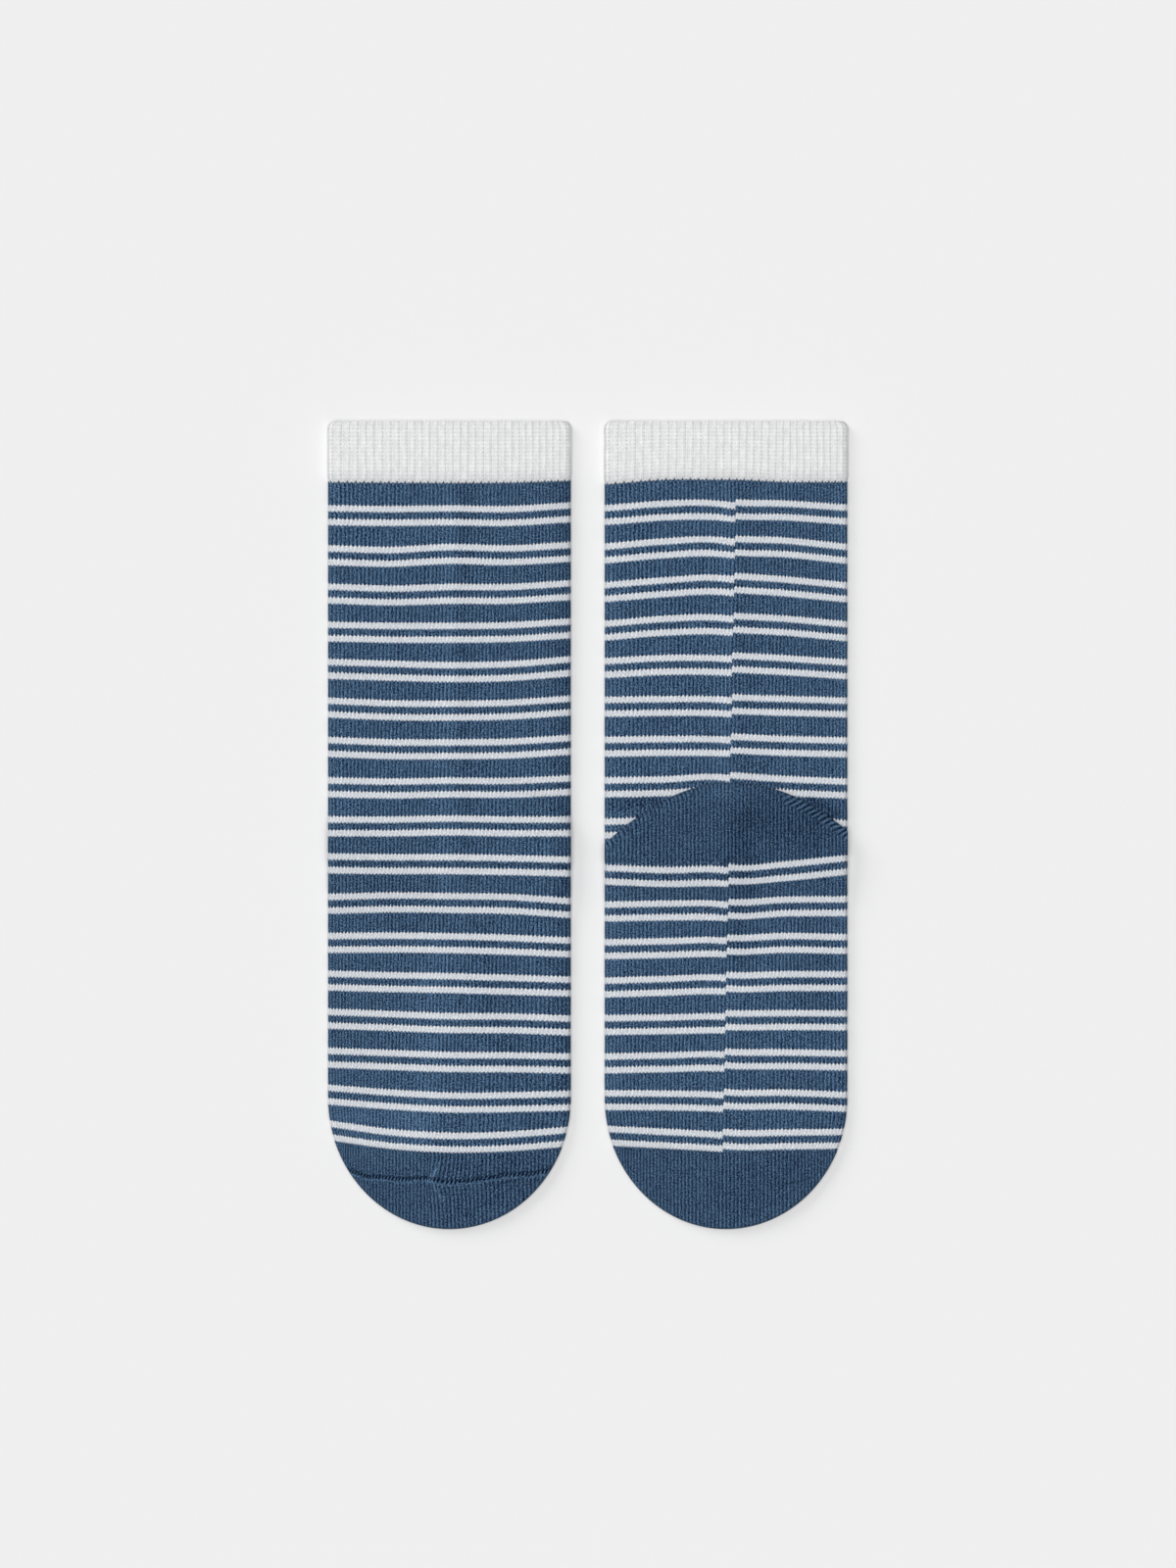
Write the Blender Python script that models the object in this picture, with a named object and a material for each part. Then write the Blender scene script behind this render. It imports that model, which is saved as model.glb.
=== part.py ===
"""Pair of knitted crew socks, laid flat side by side on a surface.

Each sock is one knitted tube pressed flat: a cuff, a leg, a heel pocket folded towards the cuff, a foot
and a closed toe. The left sock lies instep side up, over its heel pocket. The right sock lies heel side up.

All sizes below are in millimetres. x runs across a sock from its middle line, y runs up from its toe's end
towards its cuff, and z is up from the surface. Every sock is then moved to its place in the pair.
"""

import math
from dataclasses import dataclass, field

import bmesh
import bpy
import numpy as np

MM = 0.001

# Flat sizes of one sock, and the room between the two.
SOCK_LENGTH = 249.2
SOCK_WIDTH = 75.0
GAP_BETWEEN_SOCKS = 10.3
HALF_WIDTH = SOCK_WIDTH / 2
MIDDLE = (SOCK_WIDTH + GAP_BETWEEN_SOCKS) / 2

# The cloth: a wall for each panel, a slit between them, and the round fold at each side.
WALL = 1.1
SLIT = 0.6
TOTAL = 2 * WALL + SLIT
FOLD = 1.4
SLIT_FOLD = 0.5
SEAM_GAP = 0.3

# Cuff: a 1x1 rib with rounded corners at its mouth.
CUFF_LENGTH = 19.1
CUFF_WALL = 1.2
CUFF_TOTAL = 2 * CUFF_WALL + SLIT
CUFF_CORNER = 2.4
CUFF_CORNER_DEPTHS = (0.0, 0.7, CUFF_CORNER)
RIBS_PER_SIDE = 33
RIB_HEIGHT = 0.45

# One rib: (place along its pitch, whether the point is on its crown).
RIB_POINTS = ((0.0, 0), (0.3, 0), (0.5, 1), (0.8, 1))

# Heel pocket: two layers of cloth folded flat into a dome, and the slopes of the cloth beside it.
HEEL_THICKNESS = 2.0
HEEL_LIFT = HEEL_THICKNESS + SEAM_GAP
HEEL_TOP = 137.7
HEEL_EDGE = 2.0
DOME_POWER = 2.2
LEG_SLOPE = 8.0
FOOT_SLOPE = 18.0
SLOPE_STEPS = 6

# Toe: half an ellipse, and the linked seam raised across its instep side.
TOE_DEPTH = 40.5
TOE_NARROWING = (1.0, 0.88, 0.78, 0.7)
TOE_SEAM_HEIGHT = 0.6
TOE_SEAM_WIDTH = 1.6

# Rows at the seam: (place across its width, least share of the toe's depth past it, share of its height).
TOE_SEAM_ROWS = ((0.9, 0.42, 0.0), (0.25, 0.36, 1.0), (-0.25, 0.32, 1.0), (-0.9, 0.27, 0.0))

# Rows towards the toe's outline: (share of the toe's depth left, how full the cloth is).
TOE_EDGE_ROWS = ((0.14, 1.0), (0.06, 0.98), (0.03, 0.85), (0.01, 0.5), (0.0, 0.0))

# How finely the panels, their curved ends and their side folds are divided.
PANEL_SPANS = 12
CURVED_SPANS = 20
FOLD_STEPS = 4
OUTLINE_PASSES = 20
WELD = 1e-4
SHARP_ANGLE = math.radians(40)


@dataclass(frozen=True)
class Course:
    """A line of stitches right across a sock: its y at the middle, its tilt and how far its ends rise."""

    middle: float
    tilt: float = 0.0
    rise: float = 0.0

    def __call__(self, x):
        """The line's y at x."""
        part = x / HALF_WIDTH
        return self.middle + self.tilt * part + self.rise * part**2

    def moved(self, distance):
        """The same line, moved towards the cuff."""
        return Course(self.middle + distance, self.tilt, self.rise)


CUFF_LINE = Course(SOCK_LENGTH - CUFF_LENGTH)
TOE_LINE = Course(23.7, rise=2.6)
TOE_SEAM = Course(14.4, rise=5.0)


@dataclass(frozen=True)
class Sock:
    """What differs between the two socks: the place, the side that is up, and the heel's lines."""

    name: str
    place: float
    heel_up: bool
    heel_line: Course
    dome_drop_left: float
    dome_drop_right: float

    def dome(self, x):
        """The y of the folded heel's curved edge at x."""
        drop = np.where(x < 0, self.dome_drop_left, self.dome_drop_right)
        return HEEL_TOP - drop * (np.abs(x) / HALF_WIDTH) ** DOME_POWER

    def beside_dome(self, distance):
        """A line that runs along the folded heel's edge, this far outside it."""
        return lambda x: self.dome(x) + distance

    def leg_underside(self, x, y):
        """How far the leg lies above the surface: over its heel pocket, where that is folded beneath it."""
        if self.heel_up:
            return on_surface(x, y)
        return HEEL_LIFT * slope((y - self.dome(x) - SEAM_GAP) / LEG_SLOPE)

    def leg_top(self, x, y):
        """The leg's upper face."""
        return self.leg_underside(x, y) + TOTAL

    def foot_top(self, x, y):
        """The foot's upper face, which slopes up to the layers of the heel."""
        return TOTAL + HEEL_LIFT * slope((self.heel_line(x) - y) / FOOT_SLOPE)


SOCKS = (
    Sock("left", -MIDDLE, False, Course(113.2), 16.5, 16.5),
    Sock("right", MIDDLE, True, Course(112.9, tilt=1.5, rise=0.6), 18.5, 15.0),
)


@dataclass
class Layer:
    """An upper and a lower sheet of points, row by row, which meet along their sides."""

    upper: list = field(default_factory=list)
    lower: list = field(default_factory=list)

    def add_row(self, x, y, full, low, high):
        """One row of both sheets, between the heights low and high where the cloth is full."""
        middle = (low + high) / 2
        half = (high - low) / 2
        self.upper.append(row_of_points(x, y, middle + half * full))
        self.lower.append(row_of_points(x, y, middle - half * full))


def on_surface(x, _y):
    """The height of the surface that the socks lie on."""
    return np.zeros_like(x)


def slope(part):
    """A soft slope down from 1 at part 0 to 0 at part 1."""
    part = np.clip(part, 0.0, 1.0)
    return 1 - part * part * (3 - 2 * part)


def outline_half_width(y, inset):
    """Half the width of the flat sock at y, moved inwards by inset, which narrows round the toe."""
    part = np.clip((TOE_DEPTH - y) / (TOE_DEPTH - inset), 0.0, 1.0)
    return (HALF_WIDTH - inset) * math.sqrt(1 - part**2)


def half_width_on(line, inset):
    """Half the width of the sock where this line meets its outline, moved inwards by inset."""
    half = HALF_WIDTH
    for _ in range(OUTLINE_PASSES):
        half = outline_half_width(float(line(half)), inset)
    return half


def toe_outline(x, inset):
    """The y of the toe's outline at x, moved inwards by inset."""
    part = np.clip(x / (HALF_WIDTH - inset), -1.0, 1.0)
    return TOE_DEPTH - (TOE_DEPTH - inset) * np.sqrt(1 - part**2)


def corner_half_width(depth):
    """Half the cuff's width at a depth below its mouth, round its corner."""
    left = CUFF_CORNER - depth
    return HALF_WIDTH - CUFF_CORNER + math.sqrt(CUFF_CORNER**2 - left**2)


def across(half, fold, spans=PANEL_SPANS):
    """The x of each point across a panel, and how full the cloth is: 0 at a side and 1 past its fold."""
    angles = np.linspace(0.0, math.pi / 2, FOLD_STEPS + 1)
    side = fold * (1 - np.cos(angles))
    between = np.linspace(-half + fold, half - fold, spans + 1)[1:-1]
    x = np.concatenate([-half + side, between, half - side[::-1]])
    full = np.concatenate([np.sin(angles), np.ones_like(between), np.sin(angles[::-1])])
    return x, full


def row_of_points(x, y, z):
    """One row of points; y may be the same all along it."""
    return np.stack([x, np.broadcast_to(y, x.shape), z], axis=1)


def add_sheet(mesh, rows):
    """Faces between neighbouring rows of points."""
    corners = [[mesh.verts.new(point) for point in row] for row in rows]
    for row, after in zip(corners, corners[1:]):
        for left in range(len(row) - 1):
            mesh.faces.new([row[left], row[left + 1], after[left + 1], after[left]])


def add_solid(sock, piece, sheets, material):
    """Welds the sheets round one piece, turns its faces outwards and puts it in its place in the pair."""
    mesh = bmesh.new()
    for rows in sheets:
        add_sheet(mesh, rows)
    bmesh.ops.remove_doubles(mesh, verts=mesh.verts, dist=WELD)
    bmesh.ops.triangulate(mesh, faces=mesh.faces)
    bmesh.ops.recalc_face_normals(mesh, faces=mesh.faces)
    bmesh.ops.translate(mesh, verts=mesh.verts, vec=(sock.place, -SOCK_LENGTH / 2, 0.0))
    bmesh.ops.scale(mesh, verts=mesh.verts, vec=(MM, MM, MM))
    name = f"{sock.name}_{piece}"
    data = bpy.data.meshes.new(name)
    mesh.to_mesh(data)
    mesh.free()
    data.shade_smooth()
    data.set_sharp_from_angle(angle=SHARP_ANGLE)
    data.materials.append(material)
    bpy.context.collection.objects.link(bpy.data.objects.new(name, data))


def add_hollow_solid(sock, piece, outer, inner, open_rows, material):
    """A wall of cloth between an outer and an inner layer, with a rim at each open row."""
    sheets = [outer.upper, outer.lower, inner.upper, inner.lower]
    for end in open_rows:
        sheets.append([outer.upper[end], inner.upper[end]])
        sheets.append([outer.lower[end], inner.lower[end]])
    add_solid(sock, piece, sheets, material)


def add_tube_row(outer, inner, line, low, high):
    """One row of a plain tube's outer and inner layers along a line; low and high give heights at x and y."""
    for layer, inset, fold in ((outer, 0.0, FOLD), (inner, WALL, SLIT_FOLD)):
        x, full = across(half_width_on(line, inset), fold)
        y = line(x)
        layer.add_row(x, y, full, low(x, y) + inset, high(x, y) - inset)


def rib_pattern():
    """Where the points of all ribs lie across the flat part of the cuff, from -1 to 1, and how high."""
    places = [(rib + along) / RIBS_PER_SIDE for rib in range(RIBS_PER_SIDE) for along, _ in RIB_POINTS]
    heights = [RIB_HEIGHT * crown for _ in range(RIBS_PER_SIDE) for _, crown in RIB_POINTS]
    # The first point lies on the side fold, which has a point of its own there.
    return 2 * np.array(places[1:]) - 1, np.array(heights[1:])


def build_cuff(sock, material):
    """A short tube whose upper wall carries raised ribs, with rounded corners at its mouth."""
    rib_places, rib_heights = rib_pattern()
    rows = [(SOCK_LENGTH - depth, corner_half_width(depth)) for depth in CUFF_CORNER_DEPTHS]
    rows.append((CUFF_LINE.middle + SEAM_GAP / 2, HALF_WIDTH))
    middle = CUFF_TOTAL / 2
    sides = FOLD_STEPS + 1
    outer, inner = Layer(), Layer()
    for y, half in rows:
        for layer, inset, fold in ((outer, 0.0, FOLD), (inner, CUFF_WALL, SLIT_FOLD)):
            x, full = across(half - inset, fold)
            layer.lower.append(row_of_points(x, y, middle - (middle - inset) * full))
            ribbed = (half - inset - fold) * rib_places
            x = np.concatenate([x[:sides], ribbed, x[-sides:]])
            full = np.concatenate([full[:sides], np.ones_like(ribbed), full[-sides:]])
            layer.upper.append(row_of_points(x, y, middle + (middle - inset) * full))
        outer.upper[-1][sides:-sides, 2] += rib_heights
    add_hollow_solid(sock, "cuff", outer, inner, (0, -1), material)


def build_leg(sock, material):
    """The tube from the cuff to the heel, which climbs over the heel pocket where that lies beneath it."""
    lines = [CUFF_LINE.moved(-SEAM_GAP / 2)]
    if not sock.heel_up:
        distances = np.linspace(LEG_SLOPE + SEAM_GAP, SEAM_GAP, SLOPE_STEPS + 1)
        lines += [sock.beside_dome(distance) for distance in distances]
    lines.append(sock.heel_line.moved(SEAM_GAP / 2))
    outer, inner = Layer(), Layer()
    for line in lines:
        add_tube_row(outer, inner, line, sock.leg_underside, sock.leg_top)
    add_hollow_solid(sock, "leg", outer, inner, (0, -1), material)


def build_heel(sock, material):
    """The heel pocket, folded flat: its two layers as one rounded dome on top of the leg or beneath it."""
    low = TOTAL + SEAM_GAP if sock.heel_up else 0.0
    high = low + HEEL_THICKNESS
    x, full = across(HALF_WIDTH, FOLD, CURVED_SPANS)
    flap = Layer()
    for angle in np.linspace(0.0, math.pi / 2, FOLD_STEPS + 1):
        y = sock.dome(x) - HEEL_EDGE * (1 - math.cos(angle))
        flap.add_row(x, y, full * math.sin(angle), low, high)
    flap.add_row(x, sock.heel_line.moved(SEAM_GAP / 2)(x), full, low, high)
    base = [flap.upper[-1], flap.lower[-1]]
    add_solid(sock, "heel", [flap.upper, flap.lower, base], material)


def build_foot(sock, material):
    """The tube from the heel to the toe, which starts at the height of the folded heel and slopes down."""
    start = sock.heel_line.moved(-SEAM_GAP / 2)
    end = TOE_LINE.moved(SEAM_GAP / 2)
    middles = [start.middle - FOOT_SLOPE * step / SLOPE_STEPS for step in range(SLOPE_STEPS + 1)]
    middles += [TOE_DEPTH * share for share in TOE_NARROWING]
    middles.append(end.middle)
    outer, inner = Layer(), Layer()
    for middle in middles:
        part = (start.middle - middle) / (start.middle - end.middle)
        rise = start.rise * (1 - part) + end.rise * part
        line = Course(middle, start.tilt * (1 - part), rise)
        add_tube_row(outer, inner, line, on_surface, sock.foot_top)
    add_hollow_solid(sock, "foot", outer, inner, (0, -1), material)


def build_toe(sock, material):
    """The closed toe, with the linked seam raised where its instep side is up."""
    start = TOE_LINE.moved(-SEAM_GAP / 2)
    outer, inner = Layer(), Layer()
    for layer, inset, fold in ((outer, 0.0, FOLD), (inner, WALL, SLIT_FOLD)):
        x, full = across(half_width_on(start, inset), fold, CURVED_SPANS)
        end = toe_outline(x, inset)
        depth = np.maximum(start(x) - end, 0.0)
        layer.add_row(x, end + depth, full, inset, TOTAL - inset)
        for place, nearest, raised in TOE_SEAM_ROWS:
            line = TOE_SEAM.moved(TOE_SEAM_WIDTH * place)
            layer.add_row(x, np.maximum(line(x), end + depth * nearest), full, inset, TOTAL - inset)
            if layer is outer and not sock.heel_up:
                layer.upper[-1][:, 2] += TOE_SEAM_HEIGHT * raised * full
        for share, fullness in TOE_EDGE_ROWS:
            layer.add_row(x, end + depth * share, full * fullness, inset, TOTAL - inset)
    add_hollow_solid(sock, "toe", outer, inner, (0,), material)


def cotton(name, colour):
    """Combed cotton yarn: matt, with no metal in it."""
    material = bpy.data.materials.new(name)
    material.use_nodes = True
    shader = material.node_tree.nodes["Principled BSDF"]
    shader.inputs["Base Color"].default_value = (*colour, 1.0)
    shader.inputs["Roughness"].default_value = 0.9
    shader.inputs["Metallic"].default_value = 0.0
    return material


def main():
    """Builds both socks, piece by piece."""
    for thing in list(bpy.data.objects):
        bpy.data.objects.remove(thing)
    cuff_rib = cotton("cuff_rib", (0.80, 0.80, 0.78))
    striped_jersey = cotton("striped_jersey", (0.24, 0.27, 0.33))
    plain_jersey = cotton("plain_jersey", (0.05, 0.09, 0.16))
    for sock in SOCKS:
        build_cuff(sock, cuff_rib)
        build_leg(sock, striped_jersey)
        build_heel(sock, plain_jersey)
        build_foot(sock, striped_jersey)
        build_toe(sock, plain_jersey)


main()
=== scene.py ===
"""Pair of knitted crew socks, laid flat side by side: the dressed model and its studio.

Every piece is a closed shell of knitted cloth. Its points follow the knit: columns of points run down the
wales and rows of points run along the courses, zigzagging as the stitches do, so the wales, ribs and stitches
are real relief. A point's place in the knit is kept in the UV map "knit" (wales across, courses down). The
UV map "chart" says which course of the stripe chart it shows. The attribute "crown" says how light it is: 0
in a gap of the knit, where the materials paint shade, 1 on a stitch, less where a seam darkens it, and less
or more where shade and light are painted along creases, folds and the cuff's mouth. The materials read these
three.

Sizes are in millimetres in a sock's own frame: x runs across from its middle line, y runs up from its toe's
end towards its cuff, and z is up from the surface. Courses are counted down from the cuff's lower edge, and
wales are counted round the tube from its left side.
"""

import logging
import math
from collections.abc import Callable, Sequence
from dataclasses import dataclass, field
from enum import Enum

import bpy
import numpy as np
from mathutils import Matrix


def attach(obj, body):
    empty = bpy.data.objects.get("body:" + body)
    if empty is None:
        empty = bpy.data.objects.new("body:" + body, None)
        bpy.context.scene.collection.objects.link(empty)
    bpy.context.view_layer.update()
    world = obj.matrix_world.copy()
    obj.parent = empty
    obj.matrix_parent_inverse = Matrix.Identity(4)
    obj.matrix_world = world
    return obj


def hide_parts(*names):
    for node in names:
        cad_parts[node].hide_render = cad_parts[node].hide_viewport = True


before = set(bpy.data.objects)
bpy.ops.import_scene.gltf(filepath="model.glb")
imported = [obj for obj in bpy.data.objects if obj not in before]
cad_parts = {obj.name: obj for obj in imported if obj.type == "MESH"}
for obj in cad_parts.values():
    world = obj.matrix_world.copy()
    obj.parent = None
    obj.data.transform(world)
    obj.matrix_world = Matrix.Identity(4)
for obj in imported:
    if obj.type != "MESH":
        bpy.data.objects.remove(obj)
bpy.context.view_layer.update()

LOG = logging.getLogger("socks")
Array = np.ndarray
Material = bpy.types.Material
Socket = bpy.types.NodeSocket
MM = 0.001

# The flat sock, as its solids have it.
SOCK_LENGTH = 249.2
HALF_WIDTH = 37.5
MIDDLE = 42.65
WALL = 1.1
SLIT = 0.6
TOTAL = 2 * WALL + SLIT
FOLD = 1.4
SLIT_FOLD = 0.5
CUFF_CORNER = 2.4
TOE_DEPTH = 40.5
HEEL_THICKNESS = 2.0
HEEL_GAP = 0.3
HEEL_LIFT = HEEL_THICKNESS + HEEL_GAP
HEEL_TOP = 137.7
LEG_SLOPE = 8.0
FOOT_SLOPE = 18.0

# The knit: 66 wales to a panel, of which two at each side go round its fold, and twelve courses to a repeat.
PANEL_WALES = 66
TUBE_WALES = 2 * PANEL_WALES
FOLD_WALES = 2
WALE = 2 * (HALF_WIDTH - FOLD) / (PANEL_WALES - 2 * FOLD_WALES)
COURSE = 0.97
CUFF_COURSES = 16
FIRST_PAIR = 7
REPEAT = 12
LAST_COURSE = 205
ZIGZAG = 0.56
STITCH_DEPTH = 0.3
CROWN_PROUD = 0.1
RIB_DEPTH = 0.34
UNEVEN = 0.13
EVEN_CROWN = 0.6

# How the cloth lies: off the floor, its folds settled, its wales wavering and its panels a little uneven, and
# how strongly the shade and light of its creases are painted.
ABOVE_FLOOR = 0.02
SETTLED = 1.8
WAVER = 0.22
SOFTNESS = 0.1
PAINTED_SHADING = 0.75

# (Course within a pair of white stripes, drop in mm below its upper edge).
PAIR_EDGES = ((0, 0.0), (2, 1.92), (4, 4.23), (6, 6.15))


class SideUp(Enum):
    """Which side of a sock is up."""

    INSTEP = "instep"
    HEEL = "heel"


class Pattern(Enum):
    """How the yarns of a finish are knitted together."""

    PLAIN = "plain"
    STRIPED = "striped"
    RIB = "rib"


def unit(part: Array) -> Array:
    """The same part, kept between 0 and 1."""
    return np.clip(part, 0.0, 1.0)


def slope(part: Array) -> Array:
    """A soft slope down from 1 at part 0 to 0 at part 1."""
    part = unit(part)
    return 1 - part * part * (3 - 2 * part)


def bell(distance: Array, width: float) -> Array:
    """A soft hump, 1 where the distance is 0."""
    return np.exp(-((distance / width) ** 2))


def rounding(room: Array) -> Array:
    """How full a round edge is, from 0 at its rim to 1 where the room beside it is 1."""
    return np.sqrt(1 - (1 - room) ** 2)


def through_stations(x: Array, stations: Sequence[float], values: Sequence[Array]) -> Array:
    """A smooth line through values that are given at a few stations across a sock.

    Args:
        x: places across, in mm.
        stations: the places of the given values, from left to right.
        values: for each station its value at every place in x.

    Returns:
        The value at each place; past the end stations the line goes on straight.
    """
    places, given = np.array(stations), np.stack(values)
    slopes = np.gradient(given, places, axis=0)
    part = np.clip(np.searchsorted(places, x) - 1, 0, len(places) - 2)
    step = places[part + 1] - places[part]
    along = unit((x - places[part]) / step)
    low, high, low_slope, high_slope = (
        np.take_along_axis(table, index[None], axis=0)[0]
        for table, index in ((given, part), (given, part + 1), (slopes, part), (slopes, part + 1))
    )
    rise = slope(along)
    line = low * rise + high * (1 - rise)
    line += step * along * (1 - along) * (low_slope * (1 - along) - high_slope * along)
    beyond = x - np.clip(x, places[0], places[-1])
    return line + beyond * np.where(beyond < 0, low_slope, high_slope)


def lattice(across: Array, along: Array, seed: int, size: int = 64) -> Array:
    """Soft unevenness, blended between one random value at each whole number.

    Args:
        across: places one way, in steps of the unevenness.
        along: places the other way.
        seed: which table of random values it uses.
        size: how many steps it takes to repeat.

    Returns:
        Values from -1 to 1.
    """
    table = np.random.default_rng(seed).uniform(-1.0, 1.0, (size, size))
    left, low = np.floor(across).astype(int), np.floor(along).astype(int)
    right_share, high_share = 1 - slope(across - left), 1 - slope(along - low)
    low_row, high_row = (
        table[row % size, left % size] * (1 - right_share)
        + table[row % size, (left + 1) % size] * right_share
        for row in (low, low + 1)
    )
    return low_row * (1 - high_share) + high_row * high_share


def outline_half_width(y: Array) -> Array:
    """Half the width of the flat sock, which narrows round the toe and at the cuff's corners.

    Args:
        y: heights from the toe's end.

    Returns:
        The distance from the middle line to either side.
    """
    toe = unit((TOE_DEPTH - y) / TOE_DEPTH)
    corner = np.clip(CUFF_CORNER - (SOCK_LENGTH - y), 0.0, CUFF_CORNER)
    return HALF_WIDTH * np.sqrt(1 - toe**2) - CUFF_CORNER + np.sqrt(CUFF_CORNER**2 - corner**2)


def toe_outline(x: Array, inset: float = 0.0) -> Array:
    """The y of the toe's outline at x, moved inwards by inset."""
    part = np.clip(x / (HALF_WIDTH - inset), -1.0, 1.0)
    return TOE_DEPTH - (TOE_DEPTH - inset) * np.sqrt(1 - part**2)


def on_surface(x: Array, y: Array) -> Array:
    """The height of what lies on the surface."""
    return np.zeros_like(x)


def zigzag(wale: Array, course: Array) -> Array:
    """The shape of a row of stitches, which fades away in the rib and, but for its sides, in the toe.

    Args:
        wale, course: places across and along the knit.

    Returns:
        How many courses lower each place lies.
    """
    legs = (1 - np.abs(2 * (wale % 1) - 1)) ** 1.4
    sides = unit((wale % PANEL_WALES) / 3) * unit((-wale % PANEL_WALES) / 3)
    toe = unit((course - LAST_COURSE + 6) / 5)
    cuff = np.interp(course, (-CUFF_COURSES, -3, 0), (0.0, 0.5, 1.0))
    return ZIGZAG * (0.42 - legs) * cuff * (1 - toe * (1 - sides))


def stripes_begun(course: Array) -> Array:
    """How much of the step between two rounds shows, from 0 at the cuff to 1 at the first stripe."""
    return unit(course / (FIRST_PAIR - 1))


@dataclass(frozen=True)
class SoftFold:
    """A soft ridge pressed into the cloth along a straight line, or a trough where its height is negative. It
    also lays painted shade and painted light along a line, on a sock's creases and folds.
    """

    start: tuple[float, float]
    end: tuple[float, float]
    width: float
    height: float

    def lift(self, x: Array, y: Array) -> Array:
        """Works out how far it lifts the cloth.

        Args:
            x, y: places across and up the sock.

        Returns:
            The lift at each place.
        """
        run = np.subtract(self.end, self.start)
        along = unit(((x - self.start[0]) * run[0] + (y - self.start[1]) * run[1]) / (run @ run))
        gap = np.hypot(x - self.start[0] - along * run[0], y - self.start[1] - along * run[1])
        return self.height * bell(gap, self.width)


def soft_folds(*rows: tuple[float, float, float, float, float, float]) -> tuple[SoftFold, ...]:
    """Folds from rows of six: the start's x and y, the end's x and y, the width and the height."""
    return tuple(SoftFold(row[:2], row[2:4], *row[4:]) for row in rows)


def lifts(folds: Sequence[SoftFold], x: Array, y: Array) -> Array:
    """How far all of some folds lift the cloth at x and y."""
    return sum(fold.lift(x, y) for fold in folds)


@dataclass(frozen=True)
class CourseChart:
    """Where the courses of a sock lie, from its stripes.

    The stripes bow and tilt a little, each in its own way, so their heights are given at a few stations
    across. early says how many courses sooner the stripes come at a station, past the line where the rounds
    begin.
    """

    stations: tuple[float, ...]
    early: tuple[float, ...]
    cuff_line: tuple[float, ...]
    pairs: tuple[tuple[float, ...], ...]
    spare: int = 25

    def knots(self) -> tuple[list[float], Array]:
        """The courses whose heights are known, and those heights at each station.

        Returns:
            The courses, and an array with a row for each course and a column for each station.
        """
        courses: list[float] = [-CUFF_COURSES, 0]
        rows = [np.full(len(self.stations), SOCK_LENGTH), np.array(self.cuff_line)]
        for number, pair in enumerate(self.pairs):
            for course, drop in PAIR_EDGES:
                courses.append(FIRST_PAIR + REPEAT * number + course)
                rows.append(np.array(pair) - drop)
        courses.append(LAST_COURSE + self.spare)
        rows.append(rows[-1] - self.spare * COURSE)
        return courses, np.array(rows)

    def y(self, x: Array, course: Array) -> Array:
        """Finds the height of a course.

        Args:
            x: places across.
            course: the course at each of them.

        Returns:
            The y at each place.
        """
        courses, rows = self.knots()
        values = [
            np.interp(course + early * stripes_begun(course), courses, rows[:, column])
            for column, early in enumerate(self.early)
        ]
        return through_stations(x, self.stations, values)


LEFT_CHART = CourseChart(
    stations=(-34.5, -17.8, 0.0, 18.4, 35.1),
    early=(0, 0, 0, 0, 0),
    cuff_line=(230.2, 230.1, 230.0, 230.1, 230.6),
    pairs=(
        (223.2, 223.0, 223.2, 223.0, 224.0),
        (210.8, 210.4, 211.3, 210.9, 211.8),
        (199.0, 198.5, 199.0, 199.0, 200.0),
        (187.3, 187.0, 187.0, 187.2, 188.2),
        (175.8, 175.3, 174.9, 175.2, 176.5),
        (163.8, 163.1, 163.0, 163.3, 164.4),
        (151.7, 151.1, 151.1, 151.3, 152.3),
        (139.3, 139.0, 139.3, 139.2, 139.9),
        (127.3, 127.3, 127.6, 127.3, 127.3),
        (115.9, 115.7, 115.7, 115.4, 115.0),
        (103.5, 103.9, 103.7, 103.4, 102.3),
        (91.4, 91.5, 91.3, 90.8, 90.1),
        (79.7, 79.3, 79.0, 78.5, 78.0),
        (67.9, 67.3, 66.7, 66.6, 66.0),
        (55.9, 55.3, 54.7, 54.6, 54.3),
        (44.4, 43.1, 42.2, 42.3, 42.7),
        (33.2, 30.9, 29.8, 30.2, 31.5),
    ),
)

RIGHT_CHART = CourseChart(
    stations=(-34.3, -18.3, -2.6, 2.3, 18.0, 34.6),
    early=(0, 0, 0, 1, 1, 1),
    cuff_line=(229.8, 231.0, 231.0, 231.0, 230.3, 230.3),
    pairs=(
        (223.5, 224.7, 224.7, 225.1, 224.7, 223.6),
        (211.7, 213.1, 213.5, 213.9, 213.3, 211.6),
        (199.8, 201.1, 201.8, 202.4, 201.3, 199.7),
        (187.9, 189.2, 189.5, 190.1, 189.2, 187.7),
        (176.3, 177.1, 177.0, 177.8, 177.0, 175.9),
        (164.2, 164.4, 164.3, 165.0, 164.5, 164.0),
        (151.9, 152.1, 152.0, 152.8, 152.1, 151.7),
        (139.4, 139.7, 140.4, 140.9, 139.8, 139.1),
        (126.7, 127.2, 127.9, 128.5, 127.5, 126.3),
        (112.3, 111.7, 111.9, 112.5, 113.5, 115.2),
        (101.1, 101.4, 101.3, 101.8, 102.6, 102.7),
        (89.5, 89.8, 90.1, 90.8, 91.4, 91.1),
        (77.7, 78.2, 78.6, 79.3, 79.6, 79.6),
        (66.1, 66.3, 66.6, 67.5, 67.6, 67.5),
        (54.3, 54.6, 54.9, 55.6, 55.5, 55.2),
        (42.9, 42.8, 42.4, 43.1, 43.1, 42.5),
        (31.8, 31.0, 30.1, 30.7, 30.8, 31.0),
    ),
)


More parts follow.
